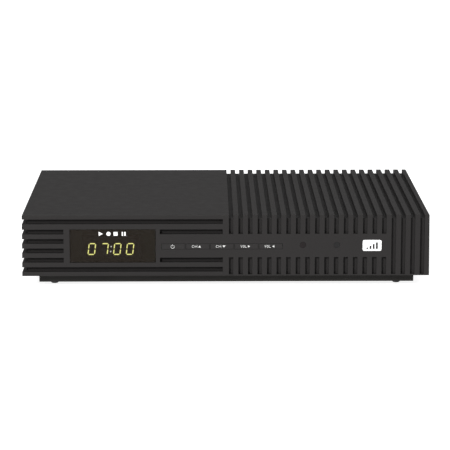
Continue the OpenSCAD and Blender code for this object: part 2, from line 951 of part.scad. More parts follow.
// Pan head screw with its head on z = 0 and its shaft along -Z
module machine_screw() {
    difference() {
        cylinder(r = screw_head_r, h = screw_head_t);
        for (a = [0, 90])
            rotate(a)
                span(around(0, 2.8), around(0, 0.6), [screw_head_t - 0.8, screw_head_t + cut]);
    }
    translate([0, 0, -screw_len])
        cylinder(r = screw_r, h = screw_len);
}

// Main board, drive bracket, drive, front board and rear panel
module machine_screws()
    color("#b9bcc0") {
        for (p = main_screws)
            translate([p[0], p[1], main_top])
                machine_screw();
        for (x = bracket_ear_x, y = bracket_ear_y)
            translate([x, y, drive_z])
                machine_screw();
        for (side = [-1, 1], y = drive_screw_y)
            translate([side < 0 ? drive_x[0] - gap - bracket_t : drive_x[1] + gap + bracket_t,
                y, drive_z + 3])
                rotate([0, side * 90, 0])
                    machine_screw();
        for (x = front_boss_x, z = front_boss_z)
            translate([x, board_y + board_t, z])
                rotate([-90, 0, 0])
                    machine_screw();
        for (x = panel_post_x)
            translate([x, panel_out, panel_post_z])
                rotate([-90, 0, 0])
                    machine_screw();
    }

module case_screws()
    color("#77797c")
    for (x = [-post_x, post_x], y = post_y)
        translate([x, y, case_screw_head_z]) {
            difference() {
                cylinder(r = case_screw_head_r, h = case_screw_head_t);
                for (a = [0, 90])
                    rotate(a)
                        span(around(0, 3), around(0, 0.7), [-cut, 1]);
            }
            translate([0, 0, case_screw_head_t])
                cylinder(r = case_screw_r,
                    h = case_screw_top - case_screw_head_z - case_screw_head_t);
        }

// ---- Nodes ----

top_shell();
tray_with_posts();  // base_tray
rear_panel();
foot(-foot_x, foot_y[0]);  // foot_front_left
foot(foot_x, foot_y[0]);  // foot_front_right
foot(-foot_x, foot_y[1]);  // foot_rear_left
foot(foot_x, foot_y[1]);  // foot_rear_right
display_window();
ir_window();
light_pipe();
key(0);  // key_power
key(1);  // key_channel_up
key(2);  // key_channel_down
key(3);  // key_volume_up
key(4);  // key_volume_down
plunger(0);  // plunger_power
plunger(1);  // plunger_channel_up
plunger(2);  // plunger_channel_down
plunger(3);  // plunger_volume_up
plunger(4);  // plunger_volume_down
switch_body(0);  // switch_power
switch_body(1);  // switch_channel_up
switch_body(2);  // switch_channel_down
switch_body(3);  // switch_volume_up
switch_body(4);  // switch_volume_down
front_board();
display_module();
display_segments();
ir_receiver();
status_lamp();
front_ribbon();
main_board();
processor();
heatsink();
memory_chips();
tuner_can();
clock_cell();
cell_holder();
capacitors();
inductors();
aerial_socket(aerial_x[0]);  // aerial_socket_in
aerial_socket(aerial_x[1]);  // aerial_socket_out
socket_nuts();
hdmi_socket();
ethernet_socket();
usb_socket();
optical_socket();
optical_flap();
power_inlet();
rocker_housing();
power_rocker();
drive_casting();
drive_cover();
drive_platter();
drive_arm();
drive_board();
drive_bracket();
drive_cable();
case_screws();
machine_screws();
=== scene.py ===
# Looks of the set-top video recorder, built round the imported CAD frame.
# Lengths are in millimetres until a mesh is published in metres.
import bmesh
import bpy
import json
import math
import random
import numpy as np
from mathutils import Matrix, Vector

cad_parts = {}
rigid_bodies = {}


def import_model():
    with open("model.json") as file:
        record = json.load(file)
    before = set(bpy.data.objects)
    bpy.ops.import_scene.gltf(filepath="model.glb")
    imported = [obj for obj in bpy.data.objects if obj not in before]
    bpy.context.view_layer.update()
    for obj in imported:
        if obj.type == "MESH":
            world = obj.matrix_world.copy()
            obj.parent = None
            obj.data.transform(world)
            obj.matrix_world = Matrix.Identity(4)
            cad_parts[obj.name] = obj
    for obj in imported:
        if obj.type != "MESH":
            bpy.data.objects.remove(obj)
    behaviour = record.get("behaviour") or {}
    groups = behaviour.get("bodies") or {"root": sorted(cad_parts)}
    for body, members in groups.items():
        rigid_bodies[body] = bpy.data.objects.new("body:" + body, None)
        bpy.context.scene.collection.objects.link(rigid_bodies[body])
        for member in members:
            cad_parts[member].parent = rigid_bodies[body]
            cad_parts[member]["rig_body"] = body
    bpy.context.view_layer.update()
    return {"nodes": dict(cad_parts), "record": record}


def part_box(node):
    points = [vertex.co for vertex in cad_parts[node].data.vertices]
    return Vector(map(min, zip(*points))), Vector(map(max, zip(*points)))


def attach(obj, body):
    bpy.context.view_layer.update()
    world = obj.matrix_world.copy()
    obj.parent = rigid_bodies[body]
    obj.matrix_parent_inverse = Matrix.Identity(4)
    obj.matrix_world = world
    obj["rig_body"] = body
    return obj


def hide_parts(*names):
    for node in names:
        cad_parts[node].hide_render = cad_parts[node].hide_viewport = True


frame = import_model()
MM = 0.001
KEYS = ("power", "channel_up", "channel_down", "volume_up", "volume_down")
SLOT = {s["node"]: s["material_slot"] for s in frame["record"]["subparts"]}


def box_of(node):
    """Lowest and highest corner of a CAD node."""
    lo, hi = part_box(node)
    return np.array(lo) / MM, np.array(hi) / MM


def middle_of(node):
    """Middle of a CAD node."""
    lo, hi = box_of(node)
    return (lo + hi) / 2


CASE_LO, CASE_HI = box_of("top_shell")
FRONT, REAR, TOP = CASE_LO[1], CASE_HI[1], CASE_HI[2]
TOP_OF_BOARD = box_of("main_board")[1][2]


# ---------------------------------------------------------------- camera
def make_camera():
    """The photo's viewpoint, slightly left of the middle and 12 degrees above."""
    yaw, pitch, roll = math.radians(0.52), math.radians(12.008), math.radians(0.013)
    data = bpy.data.cameras.new("camera")
    data.lens = 161.93
    data.sensor_width = 36
    data.clip_start, data.clip_end = 0.05, 30
    cam = bpy.data.objects.new("camera", data)
    bpy.context.scene.collection.objects.link(cam)
    cam.location = Vector((-11.7, -1321.3, 305.1)) * MM
    cam.rotation_mode = "XYZ"
    cam.rotation_euler = (math.pi / 2 - pitch, roll, -yaw)
    bpy.context.scene.camera = cam


make_camera()


# ---------------------------------------------------------------- materials
class Nodes:
    """Small wrapper that adds nodes to a material and links them."""

    def __init__(self, name):
        self.material = bpy.data.materials.new(name)
        self.material.use_nodes = True
        self.tree = self.material.node_tree
        self.shader = self.tree.nodes["Principled BSDF"]
        self.coords = self.tree.nodes.new("ShaderNodeTexCoord").outputs["Object"]

    def link(self, a, b):
        self.tree.links.new(a, b)

    def add(self, kind, **settings):
        node = self.tree.nodes.new("ShaderNode" + kind)
        for key, value in settings.items():
            setattr(node, key, value)
        return node

    def stretched(self, scale):
        node = self.add("Mapping")
        node.inputs["Scale"].default_value = scale
        self.link(self.coords, node.inputs["Vector"])
        return node.outputs["Vector"]

    def noise(self, size, detail=2.0, stretch=None):
        """Noise whose features are about size mm across."""
        node = self.add("TexNoise")
        node.inputs["Scale"].default_value = 1000 / size
        node.inputs["Detail"].default_value = detail
        self.link(self.stretched(stretch) if stretch else self.coords, node.inputs["Vector"])
        return node.outputs["Fac"]

    def remap(self, value, lo, hi, src=(0.3, 0.7)):
        node = self.add("MapRange")
        node.inputs["From Min"].default_value, node.inputs["From Max"].default_value = src
        node.inputs["To Min"].default_value, node.inputs["To Max"].default_value = lo, hi
        self.link(value, node.inputs["Value"])
        return node.outputs["Result"]

    def math(self, operation, a, b):
        node = self.add("Math", operation=operation)
        for socket, value in zip(node.inputs, (a, b)):
            if isinstance(value, (int, float)):
                socket.default_value = value
            else:
                self.link(value, socket)
        return node.outputs[0]

    def mix(self, factor, a, b):
        node = self.add("Mix", data_type="RGBA")
        self.link(factor, node.inputs["Factor"])
        for key, value in (("A", a), ("B", b)):
            socket = next(s for s in node.inputs if s.name == key and s.type == "RGBA")
            if isinstance(value, tuple):
                socket.default_value = (*value, 1)
            else:
                self.link(value, socket)
        return next(s for s in node.outputs if s.type == "RGBA")

    def bump(self, height, depth):
        """Relief of depth mm driven by a height from 0 to 1."""
        node = self.add("Bump")
        node.inputs["Strength"].default_value = 1
        node.inputs["Distance"].default_value = depth * MM
        self.link(height, node.inputs["Height"])
        self.link(node.outputs["Normal"], self.shader.inputs["Normal"])


def surface(name, color, rough, metal=0.0, specular=0.5, mottle=(18, 0.12), grain=(0.3, 0.006),
            rough_range=0.08, brushed=None, wear=None, alpha=1.0, glow=None):
    """A finished material: mottled colour, uneven roughness, surface relief and worn edges.

    mottle is (size in mm, strength), grain is (size, depth) in mm, brushed is (size, stretch),
    wear is the colour of worn edges and glow is (colour, strength)."""
    n = Nodes(name)
    p = n.shader.inputs
    dark = tuple(c * (1 - mottle[1]) for c in color)
    light = tuple(min(1, c * (1 + mottle[1])) for c in color)
    base = n.mix(n.remap(n.noise(mottle[0], 4), 0, 1), dark, light)
    roughness = n.remap(n.noise(6, 3), rough - rough_range, rough + rough_range)
    if wear:
        mask = n.add("Attribute", attribute_name="wear").outputs["Fac"]
        mask = n.math("MULTIPLY", mask, n.remap(n.noise(5, 5), 0.15, 1, (0.35, 0.65)))
        base = n.mix(mask, base, wear)
        roughness = n.math("SUBTRACT", roughness, n.math("MULTIPLY", mask, 0.12))
    n.link(base, p["Base Color"])
    n.link(roughness, p["Roughness"])
    p["Metallic"].default_value = metal
    p["Specular IOR Level"].default_value = specular
    p["Alpha"].default_value = alpha
    if brushed:
        n.bump(n.noise(brushed[0], 3, brushed[1]), grain[1])
    else:
        n.bump(n.noise(grain[0], 4), grain[1])
    if glow:
        p["Emission Color"].default_value = (*glow[0], 1)
        p["Emission Strength"].default_value = glow[1]
    return n.material


STRIPE_SCALE = 314.16  # scale of a band texture whose stripes are 1 mm apart


def board_material(name):
    """Green solder mask with two sets of tracks in patches."""
    n = Nodes(name)
    tracks = []
    for direction, size in (("X", 1.3), ("DIAGONAL", 1.1)):
        wave = n.add("TexWave", wave_type="BANDS", bands_direction=direction)
        wave.inputs["Scale"].default_value = STRIPE_SCALE / size
        wave.inputs["Distortion"].default_value = 0.0
        n.link(n.coords, wave.inputs["Vector"])
        line = n.math("GREATER_THAN", wave.outputs["Fac"], 0.72)
        patch = n.math("GREATER_THAN", n.noise(9 if direction == "X" else 13, 1), 0.53)
        tracks.append(n.math("MULTIPLY", line, patch))
    track = n.math("MAXIMUM", *tracks)
    base = n.mix(n.remap(n.noise(12, 3), 0, 1), (0.012, 0.075, 0.026), (0.018, 0.10, 0.034))
    n.link(n.mix(track, base, (0.035, 0.17, 0.06)), n.shader.inputs["Base Color"])
    n.link(n.remap(n.noise(3, 3), 0.25, 0.4), n.shader.inputs["Roughness"])
    n.bump(track, 0.03)
    return n.material


def striped(name, dark, light, size, direction, rough):
    """Flat cable: parallel conductors under clear film."""
    n = Nodes(name)
    wave = n.add("TexWave", wave_type="BANDS", bands_direction=direction)
    wave.inputs["Scale"].default_value = STRIPE_SCALE / size
    n.link(n.coords, wave.inputs["Vector"])
    n.link(n.mix(wave.outputs["Fac"], dark, light), n.shader.inputs["Base Color"])
    n.link(n.remap(n.noise(4, 3), rough - 0.08, rough + 0.08), n.shader.inputs["Roughness"])
    n.bump(wave.outputs["Fac"], 0.05)
    return n.material


BLACK = (0.0180, 0.0168, 0.0166)
WORN = (0.0215, 0.0205, 0.0199)
MATERIAL = {
    "shell_plastic": surface("shell_plastic", BLACK, 0.66, specular=0.08, mottle=(40, 0.02),
                             grain=(0.42, 0.012), rough_range=0.03, wear=WORN),
    # painted shade: the backs of the slots take this plastic, darker than the shell, standing in for the
    # shade deep inside the slots
    "slot_floor_painted_shade": surface("slot_floor_painted_shade", (0.0136, 0.0127, 0.0125), 0.75, specular=0.06, mottle=(40, 0.02),
                          grain=(0.3, 0.03), rough_range=0.03),
    "key_plastic": surface("key_plastic", BLACK, 0.6, specular=0.1, mottle=(12, 0.03),
                           grain=(0.35, 0.008), rough_range=0.04, wear=WORN),
    "tray_plastic": surface("tray_plastic", (0.0195, 0.0186, 0.0174), 0.65, specular=0.1,
                            mottle=(25, 0.08), grain=(0.6, 0.02), wear=(0.03, 0.029, 0.027)),
    "panel_paint": surface("panel_paint", (0.016, 0.016, 0.0165), 0.5, specular=0.35,
                           mottle=(20, 0.08), grain=(0.7, 0.05), wear=(0.05, 0.05, 0.052)),
    "rubber": surface("rubber", (0.013, 0.013, 0.013), 0.78, specular=0.2, mottle=(3, 0.2),
                      grain=(0.25, 0.02)),
    "smoked_lens": surface("smoked_lens", (0.0118, 0.0088, 0.0062), 0.1, specular=0.1,
                           mottle=(20, 0.04), grain=(14, 0.004), rough_range=0.03, alpha=0.72),
    "ir_plastic": surface("ir_plastic", (0.0120, 0.0098, 0.0100), 0.3, specular=0.08, mottle=(4, 0.08),
                          grain=(1.5, 0.002)),
    "pipe_plastic": surface("pipe_plastic", (0.0135, 0.0132, 0.0134), 0.35, specular=0.08,
                            mottle=(4, 0.08), grain=(1.5, 0.002)),
    "plunger_plastic": surface("plunger_plastic", (0.25, 0.045, 0.035), 0.45, mottle=(2, 0.1)),
    "switch_plastic": surface("switch_plastic", (0.04, 0.04, 0.044), 0.5, mottle=(2, 0.15)),
    "board_laminate": board_material("board_laminate"),
    "module_plastic": surface("module_plastic", (0.008, 0.008, 0.008), 0.55, mottle=(5, 0.15)),
    "digit_light": surface("digit_light", (0.5, 0.5, 0.2), 0.4, mottle=(1.2, 0.1),
                           glow=((0.97, 0.95, 0.3), 10.5)),
    "chip_plastic": surface("chip_plastic", (0.016, 0.016, 0.018), 0.55, mottle=(4, 0.12),
                            grain=(0.2, 0.02)),
    "lamp_plastic": surface("lamp_plastic", (0.55, 0.55, 0.5), 0.2, mottle=(1, 0.05)),
    "ribbon_plastic": surface("ribbon_plastic", (0.55, 0.53, 0.45), 0.45, mottle=(5, 0.06)),
    "fin_aluminium": surface("fin_aluminium", (0.42, 0.43, 0.45), 0.4, 1.0, mottle=(6, 0.08),
                             brushed=(2, (1, 0.08, 1)), wear=(0.7, 0.7, 0.72)),
    "can_steel": surface("can_steel", (0.5, 0.51, 0.53), 0.34, 1.0, mottle=(7, 0.1),
                         brushed=(1.5, (0.1, 1, 1)), wear=(0.72, 0.72, 0.74)),
    "cell_steel": surface("cell_steel", (0.6, 0.61, 0.62), 0.25, 1.0, mottle=(4, 0.06),
                          brushed=(1, (0.1, 1, 1))),
    "socket_plastic": surface("socket_plastic", (0.012, 0.012, 0.012), 0.45, mottle=(5, 0.12),
                              grain=(0.3, 0.01), wear=(0.03, 0.03, 0.03)),
    "capacitor_sleeve": surface("capacitor_sleeve", (0.02, 0.027, 0.05), 0.3, mottle=(4, 0.1)),
    "plated_brass": surface("plated_brass", (0.66, 0.63, 0.57), 0.2, 1.0, mottle=(2, 0.1),
                            grain=(0.5, 0.004), wear=(0.75, 0.72, 0.66)),
    "plated_steel": surface("plated_steel", (0.6, 0.6, 0.61), 0.24, 1.0, mottle=(4, 0.1),
                            grain=(0.6, 0.005), wear=(0.75, 0.75, 0.76)),
    "flap_plastic": surface("flap_plastic", (0.018, 0.018, 0.018), 0.5, mottle=(3, 0.1)),
    "rocker_plastic": surface("rocker_plastic", (0.010, 0.010, 0.010), 0.3, mottle=(4, 0.1),
                              grain=(0.3, 0.005), wear=(0.03, 0.03, 0.03)),
    "cast_aluminium": surface("cast_aluminium", (0.38, 0.385, 0.39), 0.5, 1.0, mottle=(5, 0.12),
                              grain=(0.5, 0.04), wear=(0.6, 0.6, 0.61)),
    "cover_steel": surface("cover_steel", (0.52, 0.53, 0.54), 0.3, 1.0, mottle=(12, 0.08),
                           brushed=(1.2, (1, 0.06, 1))),
    "platter_metal": surface("platter_metal", (0.8, 0.81, 0.83), 0.06, 1.0, mottle=(9, 0.03),
                             grain=(8, 0.001), rough_range=0.02),
    "cable_plastic": striped("cable_plastic", (0.14, 0.012, 0.01), (0.32, 0.03, 0.024), 1.2, "Z", 0.4),
    "black_screw": surface("black_screw", (0.05, 0.05, 0.052), 0.35, 0.9, mottle=(1, 0.2),
                           grain=(0.2, 0.01), wear=(0.25, 0.25, 0.25)),
}
PRINT = surface("white_print", (0.78, 0.78, 0.77), 0.55, specular=0.3, mottle=(1.5, 0.06),
                grain=(0.2, 0.004))
LEGEND = surface("legend_print", (0.5, 0.5, 0.49), 0.55, specular=0.2, mottle=(1, 0.08),
                 grain=(0.2, 0.004))
UNLIT = surface("unlit_segment", (0.02, 0.02, 0.016), 0.45, mottle=(1, 0.1))
COLON = surface("colon_light", (0.6, 0.6, 0.55), 0.4, mottle=(1, 0.05), glow=((0.9, 0.9, 0.82), 6.0))
INSULATOR = surface("insulator", (0.72, 0.71, 0.67), 0.4, mottle=(2, 0.05), grain=(0.3, 0.006))
CONTACT = surface("contact_gold", (0.85, 0.6, 0.25), 0.22, 1.0, mottle=(1, 0.1), grain=(0.3, 0.003))
TIN = surface("solder_tin", (0.62, 0.62, 0.63), 0.3, 1.0, mottle=(0.8, 0.12), grain=(0.3, 0.02))
FILM = striped("flat_cable", (0.35, 0.35, 0.36), (0.62, 0.62, 0.6), 1.0, "X", 0.35)
BLUE = surface("usb_tongue", (0.02, 0.10, 0.38), 0.45, mottle=(3, 0.08))
AMBER = surface("amber_window", (0.5, 0.25, 0.03), 0.25, mottle=(1, 0.1))
GREEN = surface("green_window", (0.05, 0.35, 0.08), 0.25, mottle=(1, 0.1))
TAN = surface("ceramic_part", (0.3, 0.22, 0.13), 0.5, mottle=(1, 0.15))


# ---------------------------------------------------------------- mesh helpers
def shade(bm, angle):
    """Smooth faces, with a sharp edge where two faces meet at more than the angle."""
    for f in bm.faces:
        f.smooth = True
    limit = math.radians(angle)
    for e in bm.edges:
        e.smooth = len(e.link_faces) == 2 and e.calc_face_angle(0) < limit


def publish(bm, name, materials, body="chassis", replaces=(), angle=35):
    """Turns a bmesh in metres into a piece that rides on a body."""
    shade(bm, angle)
    mesh = bpy.data.meshes.new(name)
    bm.to_mesh(mesh)
    bm.free()
    obj = bpy.data.objects.new(name, mesh)
    bpy.context.scene.collection.objects.link(obj)
    for m in materials if isinstance(materials, (list, tuple)) else [materials]:
        mesh.materials.append(m)
    obj.modifiers.new("flat_faces", "WEIGHTED_NORMAL").keep_sharp = True
    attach(obj, body)
    if replaces:
        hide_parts(*replaces)
    return obj


def round_edges(bm, width, segments=2, clamp=True):
    """Rounds sharp edges and marks the new faces as wear. Width is in mm, or a rule for an edge."""
    min_angle = 40
    layers = bm.edges.layers.float
    weight = layers.get("bevel_weight_edge") or layers.new("bevel_weight_edge")
    groups = {}
    for e in bm.edges:
        if len(e.link_faces) == 2 and e.calc_face_angle(0) > math.radians(min_angle):
            w = width(e) if callable(width) else width
            if w > 0:
                groups.setdefault(round(w, 3), []).append(e)
    if not groups:
        return
    top = max(groups)
    for w, edges in groups.items():
        for e in edges:
            e[weight] = w / top
    mesh = bpy.data.meshes.new("work")
    bm.to_mesh(mesh)
    obj = bpy.data.objects.new("work", mesh)
    bpy.context.scene.collection.objects.link(obj)
    for _ in range(2):
        mesh.materials.append(None)
    mod = obj.modifiers.new("bevel", "BEVEL")
    mod.width = top * MM
    mod.segments = segments
    mod.limit_method = "WEIGHT"
    mod.use_clamp_overlap = clamp
    mod.miter_outer = "MITER_SHARP"
    mod.material = 1
    shaped = obj.evaluated_get(bpy.context.evaluated_depsgraph_get())
    bm.clear()
    bm.from_mesh(shaped.to_mesh())
    shaped.to_mesh_clear()
    bpy.data.objects.remove(obj)
    bpy.data.meshes.remove(mesh)
    wear = bm.loops.layers.float_color.new("wear")
    for f in bm.faces:
        value = float(f.material_index == 1)
        for loop in f.loops:
            loop[wear] = (value, value, value, 1)
        f.material_index = 0


def is_convex(edge):
    """Whether the two faces of an edge meet at an outward corner."""
    a, b = edge.link_faces
    return (b.calc_center_median() - a.calc_center_median()).dot(a.normal) < 0


def split_front(bm, cuts):
    """Cuts the flat front along upright lines, so that no face there has a hole in it.

    Gives back every edge but those along the cuts."""
    near = 0.002
    at_front = lambda e: all(abs(v.co.y / MM - FRONT) < near for v in e.verts)
    for x in cuts:
        faces = [f for f in bm.faces if at_front(f)]
        around = {e for f in faces for e in f.edges} | {v for f in faces for v in f.verts}
        bmesh.ops.bisect_plane(bm, geom=faces + list(around), dist=1e-6,
                               plane_co=(x * MM, 0, 0), plane_no=(1, 0, 0))
    at_cut = lambda e: any(all(abs(v.co.x / MM - x) < near for v in e.verts) for x in cuts)
    return [e for e in bm.edges if not (at_front(e) and at_cut(e))]


def refine(node, width, name=None, segments=2, clamp=True, parts=(), cuts=()):
    """A welded copy of a CAD node with its edges rounded, shown instead of the node.

    parts is a list of (material, rule): faces whose corners in mm all meet the rule take that material.
    cuts are the places where split_front cuts the front."""
    bm = bmesh.new()
    bm.from_mesh(frame["nodes"][node].data)
    bmesh.ops.remove_doubles(bm, verts=bm.verts, dist=2e-6)
    edges = split_front(bm, cuts) if cuts else bm.edges
    bmesh.ops.dissolve_limit(bm, angle_limit=math.radians(0.4), verts=bm.verts, edges=edges)
    bmesh.ops.recalc_face_normals(bm, faces=bm.faces)
    round_edges(bm, width, segments, clamp)
    materials = [MATERIAL[SLOT[node]]]
    for f in bm.faces:
        f.material_index = 0
    for material, rule in parts:
        materials.append(material)
        for f in bm.faces:
            if all(rule(np.array(v.co) / MM) for v in f.verts):
                f.material_index = len(materials) - 1
    body = frame["nodes"][node]["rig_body"]
    return publish(bm, name or node + "_body", materials, body, (node,))


class Shape:
    """Vertices and faces in millimetres, gathered into one piece."""

    def __init__(self, place=None):
        self.bm = bmesh.new()
        self.place = place or (lambda a, b, c: (a, b, c))

    def face(self, verts):
        return self.bm.faces.new(verts)

    def vert(self, *p):
        return self.bm.verts.new(Vector(self.place(*p)) * MM)

    def box(self, x, y, z):
        v = [self.vert(a, b, c) for a in x for b in y for c in z]
        for q in ((0, 1, 3, 2), (4, 6, 7, 5), (0, 4, 5, 1), (2, 3, 7, 6), (0, 2, 6, 4), (1, 5, 7, 3)):
            self.face([v[k] for k in q])
        return self

    def prism(self, outline, depth):
        """An outline in the first two directions, between two values of the third."""
        low, high = ([self.vert(a, b, c) for a, b in outline] for c in depth)
        self.face(low)
        self.face(high[::-1])
        for k in range(len(outline)):
            j = (k + 1) % len(outline)
            self.face((low[k], high[k], high[j], low[j]))
        return self

    def stroke(self, points, width, depth, closed=False):
        """A line of constant width through points, raised between two values of depth."""
        p = [np.array(q, float) for q in points]
        count = len(p)
        sides = ([], [])
        for k in range(count):
            before = p[k] - p[k - 1] if closed or k else p[1] - p[0]
            after = p[(k + 1) % count] - p[k] if closed or k < count - 1 else p[-1] - p[-2]
            before, after = before / np.linalg.norm(before), after / np.linalg.norm(after)
            normal = np.array((-before[1] - after[1], before[0] + after[0]))
            normal /= np.linalg.norm(normal)
            half = width / 2 / max(0.4, normal @ np.array((-after[1], after[0])))
            for side, sign in zip(sides, (1, -1)):
                side.append([self.vert(*(p[k] + sign * half * normal), c) for c in depth])
        left, right = sides
        for k in range(count if closed else count - 1):
            j = (k + 1) % count
            self.face((left[k][0], left[j][0], right[j][0], right[k][0]))
            self.face((left[k][1], right[k][1], right[j][1], left[j][1]))
            self.face((left[k][0], left[k][1], left[j][1], left[j][0]))
            self.face((right[k][0], right[j][0], right[j][1], right[k][1]))
        if not closed:
            for k in (0, -1):
                self.face((left[k][0], right[k][0], right[k][1], left[k][1]))
        return self

    def turned(self, profile, steps=48, closed=False):
        """A shape turned about the third direction. The profile holds (height, radius) pairs,
        and a radius may be a function of the angle. Radius 0 closes an end."""
        rows = []
        for height, radius in profile:
            if not callable(radius) and radius == 0:
                rows.append([self.vert(0, 0, height)])
                continue
            row = []
            for k in range(steps):
                a = 2 * math.pi * k / steps
                r = radius(a) if callable(radius) else radius
                row.append(self.vert(r * math.cos(a), r * math.sin(a), height))
            rows.append(row)
        pairs = list(zip(rows, rows[1:])) + ([(rows[-1], rows[0])] if closed else [])
        for a, b in pairs:
            for k in range(steps):
                j = (k + 1) % steps
                corners = [a[k % len(a)], a[j % len(a)], b[j % len(b)], b[k % len(b)]]
                self.face(list(dict.fromkeys(corners)))
        return self

    def done(self, name, material, body="chassis", replaces=(), slot=None, bevel=0, angle=35):
        """Rounds the edges by bevel mm and publishes the piece."""
        bmesh.ops.recalc_face_normals(self.bm, faces=self.bm.faces)
        if bevel:
            round_edges(self.bm, bevel)
        return publish(self.bm, name, material, body, replaces, angle)


def on_front(x, y, z):
    """Places (right, up, out of the face) on a face that looks forward."""
    return lambda u, v, d: (x + u, y - d, z + v)


def on_rear(x, y, z):
    """Places (right seen from behind, up, out of the face) on a face that looks backward."""
    return lambda u, v, d: (x - u, y + d, z + v)


def beside(x, y, z):
    """Places (out, up, right seen from behind), for outlines drawn in the plane that runs into the rear."""
    return lambda u, v, d: on_rear(x, y, z)(d, v, u)


def upright(x, y, z):
    """Places (right, back, up) on a level surface."""
    return lambda u, v, d: (x + u, y + v, z + d)


def arc(centre, radius, start, stop, steps):
    """Points on a circle between two angles in degrees."""
    angles = [math.radians(start + (stop - start) * k / steps) for k in range(steps + 1)]
    return [(centre[0] + radius * math.cos(a), centre[1] + radius * math.sin(a)) for a in angles]


def rounded(x, y, r):
    """Outline of a rectangle with round corners."""
    out = []
    for cx, cy, start in ((x[1] - r, y[1] - r, 0), (x[0] + r, y[1] - r, 90),
                          (x[0] + r, y[0] + r, 180), (x[1] - r, y[0] + r, 270)):
        out += arc((cx, cy), r, start, start + 90, 5)
    return out


# ---------------------------------------------------------------- shell
INSIDE_LO = (CASE_LO[0] + 5, FRONT + 4.9)  # just within the left wall and the front wall
INSIDE_HI = (CASE_HI[0] - 3.4, TOP - 4.4)  # just within the right wall and the ceiling
SLOT_DEPTH, SIDE_SLOT_DEPTH = 3.2, 3.6
GROOVES, RIB_PITCH, GROOVE_TO_SIDE = 21, 6, 4.675


def make_shell():
    """The ribbed upper shell, with wider rounding on its outline than on the ribs, and painted shade on the
    backs of the slots on its left half and left side.
    """
    outline_round, rib_round, key_window_round = 0.45, 0.16, 0.12
    key_lo, key_hi = box_of("key_power")[0], box_of("key_volume_down")[1]

    def width(edge):
        if not is_convex(edge):
            return 0
        a, b = (np.array(v.co) / MM for v in edge.verts)
        m = (a + b) / 2
        along = np.argmax(np.abs(b - a))
        on_face, on_top, at_back = m[1] < FRONT + 0.01, m[2] > TOP - 0.1, m[1] > REAR - 0.1
        in_row = lambda margin: key_lo[0] - margin < m[0] < key_hi[0] + margin
        if INSIDE_LO[0] < m[0] < INSIDE_HI[0] and m[1] > INSIDE_LO[1] and m[2] < INSIDE_HI[1]:
            return 0
        if on_face and in_row(1) and key_lo[2] < m[2] < key_hi[2]:
            return key_window_round
        if m[1] < FRONT + 2.5 and not on_face and in_row(3) and key_lo[2] - 2 < m[2] < key_hi[2] + 2:
            return 0
        at_side = abs(m[0]) > CASE_HI[0] - 0.6
        plain_top_edge = on_top and along == 0 and m[0] < 1
        if at_side and (on_top or on_face or at_back) or plain_top_edge:
            return outline_round
        return rib_round

    # painted shade: picks the faces at the backs of the front slots on the left half and of the side slots,
    # which take the darker slot colour
    def slot_floor_painted_shade(p):
        depths = (p[1] - FRONT - SLOT_DEPTH, p[0] - CASE_LO[0] - SIDE_SLOT_DEPTH)
        return p[0] < -1 and min(abs(d) for d in depths) < 0.05

    cuts = [middle_of(name)[0] for name in ("display_window", "ir_window", *("key_" + key for key in KEYS))]
    cuts += [CASE_HI[0] - GROOVE_TO_SIDE - RIB_PITCH * k for k in range(GROOVES)]
    refine("top_shell", width, "shell", segments=3, clamp=False, cuts=cuts,
           parts=[(MATERIAL["slot_floor_painted_shade"], slot_floor_painted_shade)])


def make_tray():
    """The base tray, rounded along its lower edges and at the two front corners of the plinth."""
    inset, shift = 9.4, 0.5
    ends = (CASE_LO[0] + inset + shift, CASE_HI[0] - inset + shift)
    tray_z, plinth_top = box_of("base_tray")[0][2], CASE_LO[2]

    def width(edge):
        if not is_convex(edge):
            return 0
        a, b = (np.array(v.co) / MM for v in edge.verts)
        m = (a + b) / 2
        at_end = min(abs(m[0] - x) for x in ends) < 0.1
        corner = at_end and m[1] < FRONT + inset + 0.7 and m[2] < plinth_top
        return 0.3 if corner or m[2] < tray_z + 0.01 else 0

    refine("base_tray", width, "tray", clamp=False)


make_shell()
make_tray()
refine("rear_panel", 0.12, "panel", clamp=False)


# ---------------------------------------------------------------- feet and screws
def make_feet():
    """Rubber feet: a hollowed pad with a crowned rim, a neck through the tray and a barbed head."""
    profile = [(0.12, 0), (0.12, 1.0), (0.0, 1.12), (0.0, 1.95), (0.07, 2.14), (0.25, 2.32), (1.6, 3.3),
               (2.75, 4.1), (2.93, 4.16), (2.99, 4.02), (2.99, 1.98), (5.01, 1.98), (5.01, 2.95),
               (5.25, 2.95), (6.1, 1.9), (6.35, 1.5), (6.39, 0)]
    for place in ("front_left", "front_right", "rear_left", "rear_right"):
        node = "foot_" + place
        x, y, _ = middle_of(node)
        foot = Shape(upright(x, y, 0)).turned(profile, 64)
        foot.done("pad_" + place, MATERIAL["rubber"], replaces=(node,), slot="rubber", angle=50)


make_feet()
refine("case_screws", 0.2)
refine("machine_screws", 0.18)


# ---------------------------------------------------------------- display
def lens_mark():
    """Four plain transport symbols printed on the lens: play, record, stop, pause."""
    s = Shape(on_front(0, box_of("display_window")[0][1], TOP - 12))
    depth = (-0.02, 0.02)
    s.prism([(-77.0, 0), (-79.6, 1.35), (-79.6, -1.35)], depth)
    s.prism(arc((-73.5, 0), 1.3, 0, 345, 23), depth)
    s.prism([(-70.3, -1.2), (-67.8, -1.2), (-67.8, 1.2), (-70.3, 1.2)], depth)
    for x in (-65.2, -63.6):
        s.prism([(x, -1.25), (x + 0.85, -1.25), (x + 0.85, 1.25), (x, 1.25)], depth)
    s.done("lens_print", PRINT)


